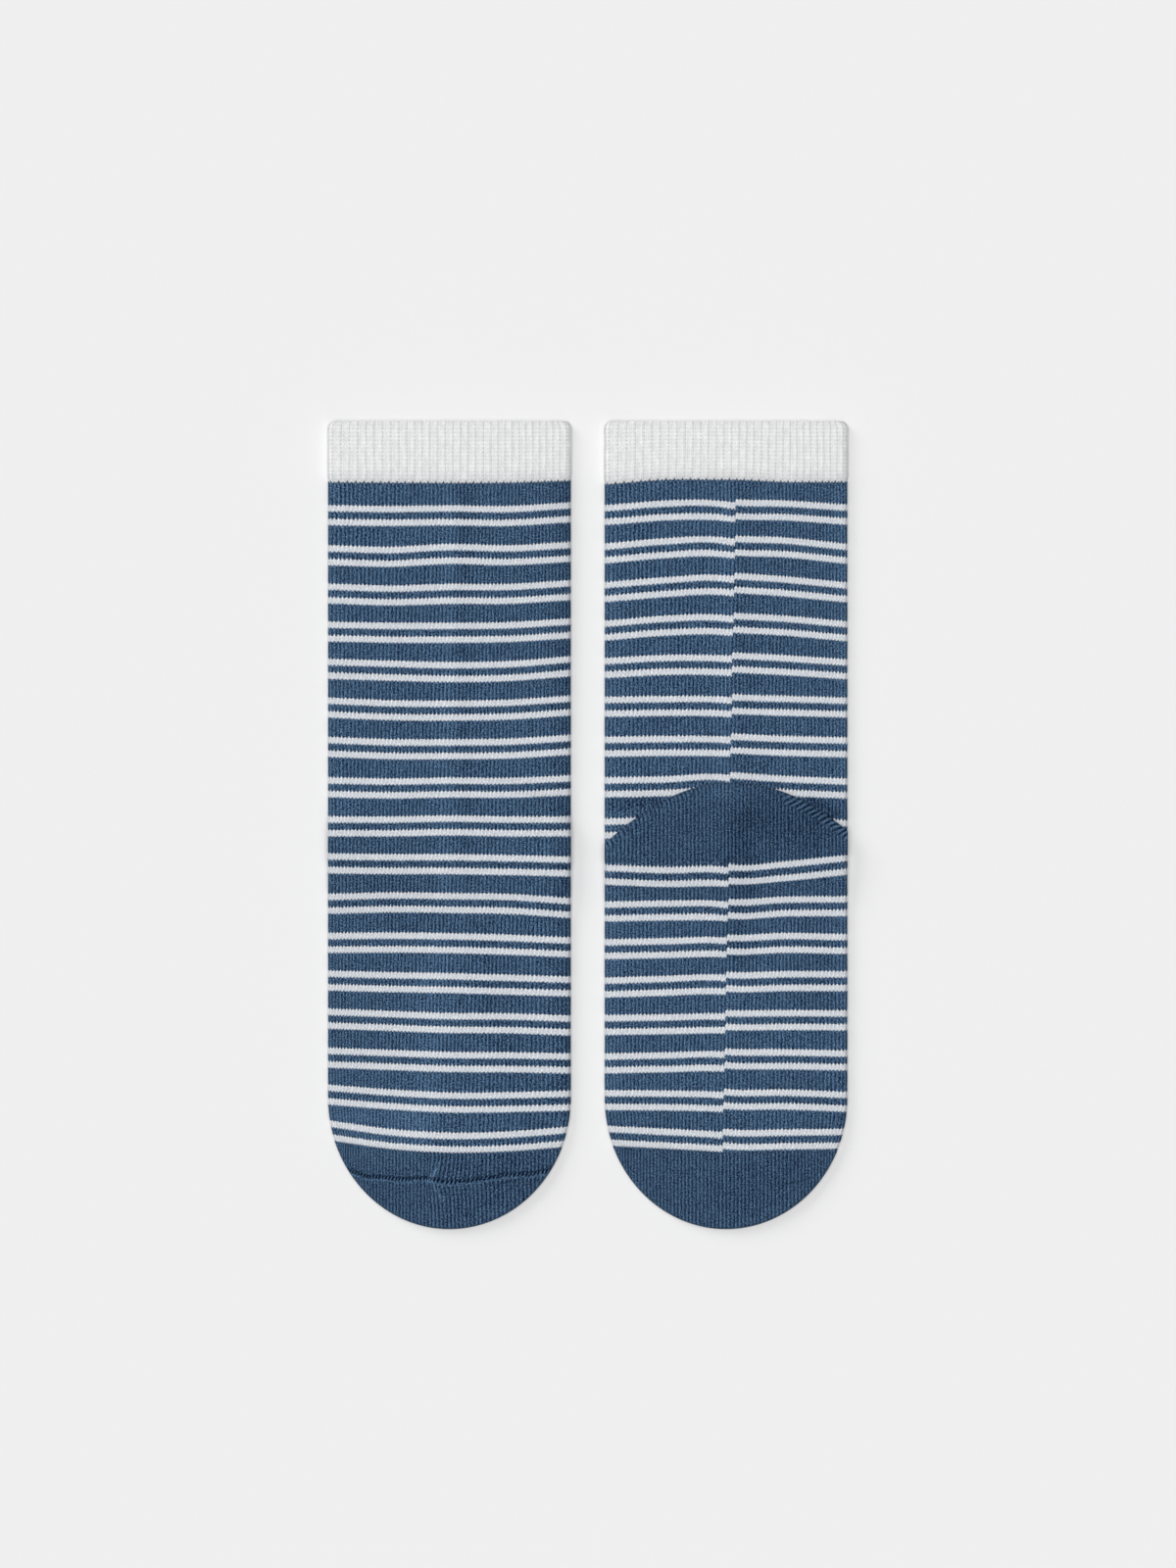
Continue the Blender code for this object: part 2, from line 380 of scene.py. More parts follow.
@dataclass(frozen=True)
class SockForm:
    """One sock's own shape: its place, the side that is up, its courses, its heel's edge and its folds, and
    the shade and light painted along its creases.
    """

    name: str
    place: float
    side_up: SideUp
    chart: CourseChart
    heel_course: int
    dome_drops: tuple[float, float]
    dome_powers: tuple[float, float]
    lean: tuple[float, float]
    rounds_begin: float
    folds: tuple[SoftFold, ...]
    painted_shading: tuple[SoftFold, ...]
    seed: int

    def dome(self, x: Array) -> Array:
        """The y of the folded heel's curved edge at x."""
        drop, power = np.where(x < 0, *self.dome_drops), np.where(x < 0, *self.dome_powers)
        return HEEL_TOP - drop * (np.abs(x) / HALF_WIDTH) ** power

    def leg_low(self, x: Array, y: Array) -> Array:
        """How high the leg's underside lies: on the surface, or over the heel folded beneath it."""
        lift = HEEL_LIFT if self.side_up is SideUp.INSTEP else 0.0
        return lift * slope((y - self.dome(x) - HEEL_GAP) / LEG_SLOPE)

    def leg_high(self, x: Array, y: Array) -> Array:
        """The leg's upper face."""
        return self.leg_low(x, y) + TOTAL

    def foot_high(self, x: Array, y: Array) -> Array:
        """The foot's upper face, which slopes up to the layers of the heel."""
        start = self.chart.y(x, np.full_like(x, self.heel_course))
        return TOTAL + HEEL_LIFT * slope((start - y) / FOOT_SLOPE)

    def press(
        self, wale: Array, course: Array, inset: float = 0.0, fold: float = FOLD, rise: float | Array = 0.0
    ) -> tuple[Array, Array, Array, Array]:
        """Where the smooth face of the tube lies once it is pressed flat.

        Args:
            wale: places round the tube.
            course: places along it, zigzag included.
            inset: how far inside the outer face.
            fold: how far the fold at a side reaches in.
            rise: how far to move the points towards the cuff.

        Returns:
            x and y, and the outward direction across and up.
        """
        folded = (PANEL_WALES - FOLD_WALES, PANEL_WALES + FOLD_WALES, TUBE_WALES - FOLD_WALES)
        places = (-FOLD_WALES, FOLD_WALES, *folded)
        flat = np.interp(wale, places, (-1, -1, 1, 1, -1))
        angle = np.interp(wale, places, np.radians((-90, 90, 90, -90, -90)))
        side = np.where((wale < PANEL_WALES / 2) | (wale > 1.5 * PANEL_WALES), -1.0, 1.0)
        out, up = side * np.cos(angle), np.sin(angle)
        half = np.full_like(wale, HALF_WIDTH)
        for _ in range(3):
            half = outline_half_width(self.chart.y(side * half, course) + rise)
        lean = np.interp(course, (FIRST_PAIR, LAST_COURSE), self.lean)
        waver = WAVER * lattice(wale / 9.0, course / 14.0, self.seed + 2)
        x = (HALF_WIDTH - inset - fold) * flat + (lean + waver) * (1 - flat**2)
        x = x + fold * out - (HALF_WIDTH - half) * np.sign(flat) * np.abs(flat) ** np.where(course < 0, 10, 4)
        return x, self.chart.y(x, course) + rise, out, up

    def course_of(self, x: Array, y: Array, wale: Array, start: int) -> Array:
        """The course at a place in a heel or toe that is knitted on from the course start."""
        line = self.chart.y(x, np.full_like(x, start))
        return start + (line - y) / COURSE - zigzag(wale, np.full_like(wale, start))

    def softness(self, x: Array, y: Array) -> Array:
        """How far the cloth of the upper panel is off its even height."""
        return lifts(self.folds, x, y) + SOFTNESS * lattice(x / 19.0 + 7, y / 23.0, self.seed)

    def tone(self, x: Array, y: Array) -> Array:
        """How much painted light pales the cloth, or painted shade darkens it, along its creases, folds and
        sides.
        """
        return PAINTED_SHADING * lifts(self.painted_shading, x, y)

    def shift(self, wale: Array, course: Array, middle: Array) -> Array:
        """How many courses early the stripes come at a corner of a face.

        Args:
            wale: the corner's wale.
            course: the corner's course.
            middle: the wale at the middle of its face, which says on which side of the first stitch it is.

        Returns:
            The courses to add for the stripe chart.
        """
        last = TUBE_WALES - FOLD_WALES
        if self.side_up is SideUp.HEEL:
            before = 0.0
            after = np.interp(wale, (self.rounds_begin, PANEL_WALES, last), (1.0, 1.0, 0.0))
        else:
            before = np.interp(wale, (PANEL_WALES, self.rounds_begin), (0.0, -0.5))
            after = np.interp(wale, (self.rounds_begin, last), (0.5, 0.0))
        return stripes_begun(course) * np.where(middle < self.rounds_begin, before, after)


def stitch_crown(wale: Array, course: Array, seed: int) -> Array:
    """How high plain jersey stands, from 0 in the gap between two wales to about 1 on a stitch's legs; the
    same value paints shade into the gaps.

    Args:
        wale, course: places across and along the knit.
        seed: which unevenness its stitches have.

    Returns:
        The height at each place.
    """
    across = np.sin(math.pi * (wale % 1)) ** 2
    even = across * (0.8 + 0.2 * np.sin(math.pi * (course % 1)))
    return even * (1 + UNEVEN * lattice(wale * 1.3, course * 0.6, seed))


def rib_crown(wale: Array, course: Array) -> tuple[Array, Array]:
    """The 1x1 rib: every second wale is a rib, with a painted highlight along its crest, and small loops
    cross the ones between, with painted shade between the courses.

    Args:
        wale, course: places across and along the knit.

    Returns:
        How high it stands, and how light it is with its painted highlight and shade.
    """
    rib = (wale % 2) > 1
    across, along = np.sin(math.pi * (wale % 1)), np.sin(math.pi * (course % 1))
    height = np.where(rib, 0.3 + 0.7 * across**0.6, 0.3 + 0.15 * across * along)
    # Painted highlight along the rib's crest, and painted shade off it between the courses.
    crest = bell(wale % 2 - 1.7, 0.22)
    return height, 0.6 + 0.4 * crest - 0.1 * (1 - crest) * (1 - along)


class ClothMesh:
    """Collects the points and faces of one piece of cloth, and each point's place in the knit."""

    def __init__(self) -> None:
        """Starts an empty piece."""
        self.points: list[Array] = []
        self.knit: list[Array] = []
        self.crowns: list[Array] = []
        self.faces: list[Array] = []
        self.turns: list[Array] = []
        self.count = 0

    def add_points(self, place: Sequence[Array], wale: Array, course: Array, crown: Array) -> Array:
        """Adds points.

        Args:
            place: their x, y and z.
            wale: their places across the knit.
            course: their places along the knit.
            crown: how light they are, from the painted shade of the knit's gaps to its stitches.

        Returns:
            The points' numbers, in the arrays' shape.
        """
        shape = np.broadcast_shapes(*(np.shape(part) for part in (*place, wale, course, crown)))
        full = [np.broadcast_to(part, shape).ravel() for part in (*place, wale, course, crown)]
        self.points.append(np.stack(full[:3], axis=1))
        self.knit.append(np.stack(full[3:5], axis=1))
        self.crowns.append(full[5])
        numbers = np.arange(self.count, self.count + full[0].size).reshape(shape)
        self.count += full[0].size
        return numbers

    def add_faces(self, corners: Array, turns: Array | None = None) -> None:
        """Adds faces by their corners' numbers, and the whole turns of wales to add at each corner."""
        self.faces.append(corners)
        self.turns.append(np.zeros_like(corners) if turns is None else turns)

    def add_grid(self, numbers: Array, outward: bool = True) -> None:
        """Adds the faces between rows and columns of points.

        Args:
            numbers: the points' numbers.
            outward: whether the faces look up on the upper panel and down on the lower one.
        """
        corners = [numbers[:-1, :-1], numbers[1:, :-1], numbers[1:, 1:], numbers[:-1, 1:]]
        if not outward:
            corners.reverse()
        self.add_faces(np.stack([corner.ravel() for corner in corners], axis=1))

    def add_strip(self, first: "Edge", second: "Edge") -> None:
        """Joins two edges with unequal numbers of points by a strip of triangles.

        Args:
            first: the edge that the strip's faces run along.
            second: the edge that they run against.
        """
        corners, turns = [], []
        here, there = 0, 0
        last_here, last_there = len(first.numbers) - 1, len(second.numbers) - 1
        while here < last_here or there < last_there:
            if there == last_there or (here < last_here and first.at[here + 1] <= second.at[there + 1]):
                ends = ((first, here), (first, here + 1), (second, there))
                here += 1
            else:
                ends = ((second, there + 1), (second, there), (first, here))
                there += 1
            corners.append([edge.numbers[place] for edge, place in ends])
            turns.append([edge.turns[place] for edge, place in ends])
        self.add_faces(np.array(corners), np.array(turns))

    def finish(self, name: str, form: SockForm) -> bpy.types.Object:
        """Makes the object, with its UV maps and its attribute.

        Args:
            name: the piece's name.
            form: the sock that it belongs to, which gives its place and its stripe chart.

        Returns:
            The finished piece.
        """
        sizes = np.concatenate([np.full(len(faces), faces.shape[1]) for faces in self.faces])
        turns = np.concatenate([turns.ravel() for turns in self.turns])
        corners = np.concatenate([faces.ravel() for faces in self.faces])
        used, corners = np.unique(corners, return_inverse=True)
        points = np.concatenate(self.points)[used] + (form.place, -SOCK_LENGTH / 2, ABOVE_FLOOR)
        mesh = bpy.data.meshes.new(name)
        mesh.vertices.add(len(points))
        mesh.vertices.foreach_set("co", (points * MM).astype(np.float32).ravel())
        mesh.loops.add(len(corners))
        mesh.loops.foreach_set("vertex_index", corners.astype(np.int32))
        mesh.polygons.add(len(sizes))
        starts = np.concatenate([[0], np.cumsum(sizes)[:-1]])
        mesh.polygons.foreach_set("loop_start", starts.astype(np.int32))
        mesh.update(calc_edges=True)
        wale, course = np.concatenate(self.knit)[used][corners].T
        wale = wale + TUBE_WALES * turns
        middle = np.repeat(np.add.reduceat(wale, starts) / sizes, sizes)
        for layer, along in (("knit", course), ("chart", course + form.shift(wale, course, middle))):
            uv = mesh.uv_layers.new(name=layer)
            uv.uv.foreach_set("vector", np.stack([wale, along], axis=1).astype(np.float32).ravel())
        crown = mesh.attributes.new("crown", "FLOAT", "POINT")
        crown.data.foreach_set("value", np.concatenate(self.crowns)[used].astype(np.float32))
        mesh.shade_smooth()
        mesh.validate()
        piece = bpy.data.objects.new(name, mesh)
        bpy.context.collection.objects.link(piece)
        return piece


@dataclass
class Edge:
    """A line of points at the edge of a sheet, and how far along it each one is."""

    numbers: Array
    at: Array
    turns: Array = field(default_factory=lambda: np.zeros(0, dtype=int))

    def __post_init__(self) -> None:
        """Leaves the wales as they are where no turns are given."""
        if not len(self.turns):
            self.turns = np.zeros(len(self.numbers), dtype=int)

    def closed(self, turn: int = 1) -> "Edge":
        """The same edge as a ring, a whole turn of wales long."""
        return Edge(
            np.append(self.numbers, self.numbers[0]),
            np.append(self.at, self.at[0] + TUBE_WALES),
            np.append(self.turns, turn),
        )


def wale_range(first: float, last: float, per_wale: int) -> Array:
    """Evenly spaced places from the first wale to the last, with so many to a wale."""
    return np.linspace(first, last, round((last - first) * per_wale) + 1)


@dataclass
class Sheet:
    """What every knitted piece has in common: its sock, its names, its cut and how it is held."""

    form: SockForm
    node: str
    slot: str
    flat: tuple[float, float]
    held: str
    flat_area: float | None = None

    def piece_name(self) -> str:
        """The name of the finished piece."""
        return f"{self.form.name}_{self.node}_knit"

    def declare(self, piece: bpy.types.Object, finish: Material) -> None:
        """Gives the piece its finish, hangs it under the root body and hides its solid.

        Args:
            piece: the finished mesh.
            finish: what it is knitted from.
        """
        piece.data.materials.append(finish)
        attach(piece, "root")
        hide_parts(f"{self.form.name}_{self.node}")
        LOG.info("%s: %d faces", piece.name, len(piece.data.polygons))


@dataclass
class Tube(Sheet):
    """A stretch of the knitted tube, pressed flat, from one course to another."""

    first: int = 0
    last: int = 0
    low: Callable[[Array, Array], Array] = on_surface
    high: Callable[[Array, Array], Array] = on_surface
    wall: float = WALL
    columns_per_wale: int = 4
    rows_per_course: int = 2
    inner_rows_every: int = 4

    def relief(self, wale: Array, course: Array) -> tuple[Array, Array]:
        """How far the cloth's outer face stands proud, and its crown."""
        crown = np.clip(stitch_crown(wale, course, self.form.seed + 1), 0.0, 1.1)
        return STITCH_DEPTH * (crown - 1), crown

    def panel_relief(self, x: Array, y: Array, up: Array, sink: Array) -> tuple[Array, Array]:
        """What a panel adds to both: the upper one stands prouder, and has the shade and light painted along
        the sock's creases and folds.
        """
        return CROWN_PROUD * (1 + up) / 2, (1 + up) / 2 * self.form.tone(x, y)

    def give(self, x: Array, y: Array) -> Array:
        """How much of the upper panel's softness shows."""
        return np.ones_like(x)

    def height(self, x: Array, y: Array, up: Array, inset: float = 0.0) -> Array:
        """The height of a face of the tube, whose side folds settle: they are widest below their middle.

        Args:
            x, y: places across and up the sock.
            up: how far each place faces up, from -1 on the lower panel to 1 on the upper one.
            inset: how far inside the outer face.

        Returns:
            The heights, with the softness of the upper panel.
        """
        low, high = self.low(x, y) + inset, self.high(x, y) - inset
        soft = self.give(x, y) * self.form.softness(x, y)
        return low + ((1 + up) / 2) ** SETTLED * (high - low) + (1 + up) / 2 * soft

    def rows(self, per_course: int) -> tuple[Array, Array, Array]:
        """The courses at which rows of points lie, and how far each row is sunk and raised."""
        courses = wale_range(self.first, self.last, per_course)
        return courses, np.zeros_like(courses), np.zeros_like(courses)

    def row_places(self, per_course: int) -> Array:
        """A rising number for each row of points, by which two sheets are joined."""
        courses, _, rise = self.rows(per_course)
        return courses - rise

    def inner_ends(self) -> tuple[float, float]:
        """The courses at which the slit's face begins and ends."""
        return self.first, self.last

    def sheet_points(self, mesh: ClothMesh, wales: Array, per_course: int) -> Array:
        """Adds the rows and columns of one outer sheet, with their stitches.

        Args:
            mesh: the piece that they belong to.
            wales: the columns' places.
            per_course: how many rows there are to a course.

        Returns:
            The points' numbers.
        """
        courses, sinks, rises = self.rows(per_course)
        wale, course = np.meshgrid(wales, courses)
        sink = sinks[:, None]
        x, y, out, up = self.form.press(wale, course + zigzag(wale, course), rise=rises[:, None])
        proud, crown = self.relief(wale, course - sink)
        panel_proud, painted_shade_and_light = self.panel_relief(x, y, up, sink)
        proud = proud + panel_proud - sink
        place = (x + out * proud, y, self.height(x, y, up) + up * proud)
        return mesh.add_points(place, wale, course - sink, crown + painted_shade_and_light)

    def build(self) -> bpy.types.Object:
        """Models the tube's two outer sheets, its slit and its rims.

        Returns:
            The finished piece.
        """
        mesh = ClothMesh()
        round_to = PANEL_WALES + FOLD_WALES
        fine = wale_range(-FOLD_WALES, round_to, self.columns_per_wale)
        coarse = wale_range(round_to + 0.5, TUBE_WALES - FOLD_WALES - 0.5, 2)
        upper = self.sheet_points(mesh, fine, self.rows_per_course)
        lower = self.sheet_points(mesh, coarse, 1)
        mesh.add_grid(upper)
        mesh.add_grid(lower)
        fine_rows, coarse_rows = self.row_places(self.rows_per_course), self.row_places(1)
        turn = np.ones(len(fine_rows), dtype=int)
        mesh.add_strip(Edge(upper[:, -1], fine_rows), Edge(lower[:, 0], coarse_rows))
        mesh.add_strip(Edge(lower[:, -1], coarse_rows), Edge(upper[:, 0], fine_rows, turn))

        fold_spots = np.arange(-FOLD_WALES, FOLD_WALES + 1)
        panel_spots = np.arange(FOLD_WALES + 2, PANEL_WALES - FOLD_WALES, 2)
        spots = np.concatenate([fold_spots, panel_spots])
        wales = np.concatenate([spots, spots + PANEL_WALES]).astype(float)
        steps = max(2, round((self.last - self.first) / self.inner_rows_every))
        wale, course = np.meshgrid(wales, np.linspace(*self.inner_ends(), steps + 1))
        x, y, _, up = self.form.press(wale, course, self.wall, SLIT_FOLD)
        inner = mesh.add_points((x, y, self.height(x, y, up, self.wall)), wale, course, EVEN_CROWN)
        mesh.add_grid(np.concatenate([inner, inner[:, :1]], axis=1), outward=False)
        outer_at = np.concatenate([fine, coarse])
        for row in (0, -1):
            outside = Edge(np.concatenate([upper[row], lower[row]]), outer_at).closed()
            inside = Edge(inner[row], wales).closed()
            mesh.add_strip(*((inside, outside) if row else (outside, inside)))
        return mesh.finish(self.piece_name(), self.form)


@dataclass
class Cuff(Tube):
    """The 1x1 rib welt, with a rounded mouth."""

    mouth_steps: int = 4
    mouth_inset: float = 0.6
    thicker: float = 0.1
    jersey_from: float = 1.5
    uneven: float = 0.1
    uneven_light: float = 0.15
    # Painted light on the side folds and on the rounded mouth, where shade falls.
    painted_fold_light: float = 0.6
    painted_mouth_light: float = 1.2

    def relief(self, wale: Array, course: Array) -> tuple[Array, Array]:
        """Shapes the ribs, which fade into jersey over the last two courses.

        Args:
            wale, course: places across and along the knit.

        Returns:
            How far the cloth stands proud, and its crown.
        """
        jersey_proud, jersey = super().relief(wale, course)
        ribs, light = rib_crown(wale, course)
        uneven = lattice(wale, course * 0.8, self.form.seed + 3)
        ribbed = unit(-course / self.jersey_from)
        proud = RIB_DEPTH * ribs * (1 + self.uneven * uneven) + self.thicker
        light = np.clip(light * (1 + self.uneven_light * uneven), 0.0, 1.1)
        return ribbed * proud + (1 - ribbed) * jersey_proud, ribbed * light + (1 - ribbed) * jersey

    def panel_relief(self, x: Array, y: Array, up: Array, sink: Array) -> tuple[Array, Array]:
        """The ribs stand out above only, as the underside rests flat; painted light pales the side folds and
        the mouth, where shade falls.
        """
        paler = self.painted_fold_light * (1 - unit(up)) ** 2 + self.painted_mouth_light * sink
        return -(RIB_DEPTH + self.thicker) * (1 - up) / 2, paler

    def rows(self, per_course: int) -> tuple[Array, Array, Array]:
        """Places the rows of the rib, and before them those that round off its mouth.

        Args:
            per_course: how many rows there are to a course.

        Returns:
            The rows' courses, and how far each is sunk and raised.
        """
        courses, sink, rise = super().rows(per_course)
        angles = np.linspace(math.pi / 2, 0.0, self.mouth_steps + 1)[:-1]
        radius = self.wall / 2
        rise = rise - radius * unit(1 - (courses - self.first))
        courses = np.concatenate([np.full(len(angles), self.first), courses])
        sink = np.concatenate([radius * (1 - np.cos(angles)), sink])
        return courses, sink, np.concatenate([radius * (np.sin(angles) - 1), rise])

    def inner_ends(self) -> tuple[float, float]:
        """The slit's face begins a little inside the mouth."""
        return self.first + self.mouth_inset, self.last


def hex_colour(code: str) -> tuple[float, float, float, float]:
    """Turns a colour to linear light.

    Args:
        code: its sRGB hex value.

    Returns:
        Linear red, green and blue, and an alpha of 1.
    """
    parts = [int(code[place : place + 2], 16) / 255 for place in (1, 3, 5)]
    linear = [part / 12.92 if part <= 0.04045 else ((part + 0.055) / 1.055) ** 2.4 for part in parts]
    return (*linear, 1.0)


def add_node(
    tree: bpy.types.NodeTree, kind: str, inputs: dict[int | str, object], **settings: object
) -> Socket:
    """Adds one node.

    Args:
        tree: the material's node tree.
        kind: the node's type.
        inputs: for its inputs, by number or name, a value or the socket that feeds it.
        settings: its other settings by name. The one called "out" picks an output instead.

    Returns:
        Its first output, or the one picked.
    """
    node = tree.nodes.new(kind)
    picked = settings.pop("out", 0)
    for name, value in settings.items():
        setattr(node, name, value)
    for name, value in inputs.items():
        if isinstance(value, Socket):
            tree.links.new(value, node.inputs[name])
        else:
            node.inputs[name].default_value = value
    return node.outputs[picked] if len(node.outputs) else None


def empty_material(name: str) -> Material:
    """Makes a new material with no nodes in it.

    Args:
        name: its name.

    Returns:
        The material.
    """
    material = bpy.data.materials.new(name)
    material.use_nodes = True
    material.node_tree.nodes.clear()
    return material


# The arithmetic that every knit shares. Each step has its name, its operation and what goes into it.
KNIT_STEPS = (
    # Which leg of which stitch a place is on, and which of its two plies.
    ("skew", "PINGPONG", "wale", 0.5),
    ("slant", "MULTIPLY_ADD", "skew", 1.6, "course"),
    ("plies", "MULTIPLY", "slant", 2.0),
    ("legs", "MULTIPLY", "wale", 2.0),
    ("leg_number", "FLOOR", "legs"),
    ("ply_number", "FLOOR", "plies"),
    # The pits where four stitches meet, deeper beside every second wale: painted shade in their hollows.
    ("wale_turn", "MULTIPLY", "wale", math.pi),
    ("wale_sine", "SINE", "wale_turn"),
    ("wale_far", "ABSOLUTE", "wale_sine"),
    ("wale_near", "SUBTRACT", 1.0, "wale_far"),
    ("course_turn", "MULTIPLY", "course", math.pi),
    ("course_sine", "SINE", "course_turn"),
    ("course_far", "ABSOLUTE", "course_sine"),
    ("course_near", "SUBTRACT", 1.0, "course_far"),
    ("second_wale", "COSINE", "wale_turn"),
    ("deeper", "MULTIPLY_ADD", "second_wale", 0.35, 0.65),
    ("meeting", "MULTIPLY", "wale_near", "course_near"),
    ("pit_shade", "MULTIPLY", "meeting", "deeper"),
    # The yarn's own roundness and fluff, as fine relief.
    ("leg_turn", "MULTIPLY", "legs", 2 * math.pi),
    ("leg_ridge", "COSINE", "leg_turn"),
    ("relief", "MULTIPLY_ADD", "fluff", 6.0, "leg_ridge"),
)

# The arithmetic of each pattern's mask, which is 1 where the second yarn shows.
MASK_STEPS = {
    Pattern.PLAIN: (),
    # Two white courses, after two blue ones two more, and then six blue ones. The fluff softens their edges.
    Pattern.STRIPED: (
        ("frayed", "MULTIPLY_ADD", "fluff", 0.5, -0.25 - FIRST_PAIR),
        ("past", "ADD", "chart", "frayed"),
        ("within", "FLOORED_MODULO", "past", float(REPEAT)),
        ("first", "LESS_THAN", "within", 2.0),
        ("second", "COMPARE", "within", 5.0, 1.0),
        ("either", "MAXIMUM", "first", "second"),
        ("begun", "GREATER_THAN", "chart", FIRST_PAIR - 0.7),
        ("mask", "MULTIPLY", "either", "begun"),
    ),
    # The next yarn reaches up between the ribs in points, and shows a little through the last courses.
    Pattern.RIB: (
        ("half", "MULTIPLY", "wale", 0.5),
        ("between", "FRACT", "half"),
        ("off", "SUBTRACT", "between", 0.76),
        ("wide", "ABSOLUTE", "off"),
        ("reach", "MULTIPLY_ADD", "wide", 3.2, -0.5),
        ("spike", "GREATER_THAN", "course", "reach"),
        ("through", "MULTIPLY_ADD", "course", 0.032, 0.13),
        ("mask", "MAXIMUM", "spike", "through"),
    ),
}


@dataclass(frozen=True)
class Yarn:
    """A dyed yarn's colours: on the crowns of its stitches, and in the gaps of the knit, darkened there by
    painted shade.
    """

    gap: str
    crown: str


@dataclass(frozen=True)
class CottonKnit:
    """Combed cotton yarn, machine knitted: matt, a little hairy, with painted shade in the gaps between its
    stitches.

    Each share says how far a part of the knit takes the colour from that of the gaps to that of the crowns.
    """

    name: str
    pattern: Pattern
    yarn: Yarn
    second_yarn: Yarn
    roughness: float = 0.95
    specular: float = 0.07
    sheen: float = 0.01
    crown_share: float = 0.5
    leg_share: float = 0.26
    fluff_share: float = 2.0
    length_share: float = 0.12
    # Painted shade in the pits where four stitches meet.
    pit_shade_share: float = 0.0
    usual_crown: float = 0.46
    usual_pit_shade: float = 0.09
    contrast: float = 1.9

    def make(self) -> Material:
        """Builds the material's nodes.

        Returns:
            The finished material.
        """
        material = empty_material(self.name)
        tree = material.node_tree
        math_kind, noise_kind, mix_kind = "ShaderNodeMath", "ShaderNodeTexNoise", "ShaderNodeMix"
        knit, chart = (add_node(tree, "ShaderNodeUVMap", {}, uv_map=name) for name in ("knit", "chart"))

        # The fluff's fibres are a third of a stitch across, the finest that show.
        # The lengths are paler and darker runs of yarn.
        along = add_node(tree, "ShaderNodeMapping", {"Vector": knit, "Scale": (1.0, 0.4, 1.0)})
        made = {
            "wale": add_node(tree, "ShaderNodeSeparateXYZ", {0: knit}, out="X"),
            "course": add_node(tree, "ShaderNodeSeparateXYZ", {0: knit}, out="Y"),
            "chart": add_node(tree, "ShaderNodeSeparateXYZ", {0: chart}, out="Y"),
            "crown": add_node(tree, "ShaderNodeAttribute", {}, attribute_name="crown", out="Fac"),
            "fluff": add_node(tree, noise_kind, {"Vector": knit, "Scale": 3.2, "Detail": 0.0}),
            "lengths": add_node(tree, noise_kind, {"Vector": along, "Scale": 0.9, "Detail": 2.0}),
        }
        for name, operation, *parts in (*KNIT_STEPS, *MASK_STEPS[self.pattern]):
            inputs = {number: made.get(part, part) for number, part in enumerate(parts)}
            made[name] = add_node(tree, math_kind, inputs, operation=operation)

        # Each ply of each leg of each stitch catches the light in its own way.
        cell = add_node(tree, "ShaderNodeCombineXYZ", {0: made["leg_number"], 1: made["ply_number"]})
        leg = add_node(tree, "ShaderNodeTexWhiteNoise", {0: cell}, noise_dimensions="2D", out="Value")

        # The crown carries the painted shade of the knit's gaps and of the creases, and the painted light of
        # the cuff's folds and mouth.
        light: object = 0.5
        for part, share, usual in (
            (made["crown"], self.crown_share, self.usual_crown),
            (leg, self.leg_share, 0.5),
            (made["fluff"], self.fluff_share, 0.5),
            (made["lengths"], self.length_share, 0.5),
            (made["pit_shade"], -self.pit_shade_share, self.usual_pit_shade),
        ):
            inputs = {0: part, 1: share, 2: -share * usual}
            centred = add_node(tree, math_kind, inputs, operation="MULTIPLY_ADD")
            light = add_node(tree, math_kind, {0: centred, 1: light}, operation="ADD")
        light = add_node(tree, math_kind, {0: light, 1: 0.0}, operation="MAXIMUM")
        light = add_node(tree, math_kind, {0: light, 1: self.contrast}, operation="POWER")

        colours = []
        for yarn in (self.yarn, self.second_yarn):
            ends = {0: light, 6: hex_colour(yarn.gap), 7: hex_colour(yarn.crown)}
            colours.append(add_node(tree, mix_kind, ends, data_type="RGBA", out=2))
        colour = colours[0]
        if "mask" in made:
            ends = {0: made["mask"], 6: colours[0], 7: colours[1]}
            colour = add_node(tree, mix_kind, ends, data_type="RGBA", out=2)
        bump = {"Height": made["relief"], "Strength": 0.5, "Distance": 0.00006}
        surface = {"Base Color": colour, "Roughness": self.roughness, "Specular IOR Level": self.specular,
                   "Sheen Weight": self.sheen, "Sheen Roughness": 0.6,
                   "Normal": add_node(tree, "ShaderNodeBump", bump)}
        shader = add_node(tree, "ShaderNodeBsdfPrincipled", surface)
        add_node(tree, "ShaderNodeOutputMaterial", {"Surface": shader})
        return material


@dataclass(frozen=True)
class PaperSweep:
    """Matt photographer's paper: pale and even, with the faintest tooth."""

    colour: str = "#E6E6E6"
    roughness: float = 0.95
    specular: float = 0.1

    def make(self) -> Material:
        """Builds the material's nodes.

        Returns:
            The finished material.
        """
        material = empty_material("matt_paper")
        tree = material.node_tree
        where = add_node(tree, "ShaderNodeTexCoord", {}, out="Object")
        tooth = add_node(tree, "ShaderNodeTexNoise", {"Vector": where, "Scale": 900.0, "Detail": 2.0})
        bump = {"Height": tooth, "Strength": 0.05, "Distance": 0.0001}
        surface = {"Base Color": hex_colour(self.colour), "Roughness": self.roughness,
                   "Specular IOR Level": self.specular, "Normal": add_node(tree, "ShaderNodeBump", bump)}
        shader = add_node(tree, "ShaderNodeBsdfPrincipled", surface)
        add_node(tree, "ShaderNodeOutputMaterial", {"Surface": shader})
        return material


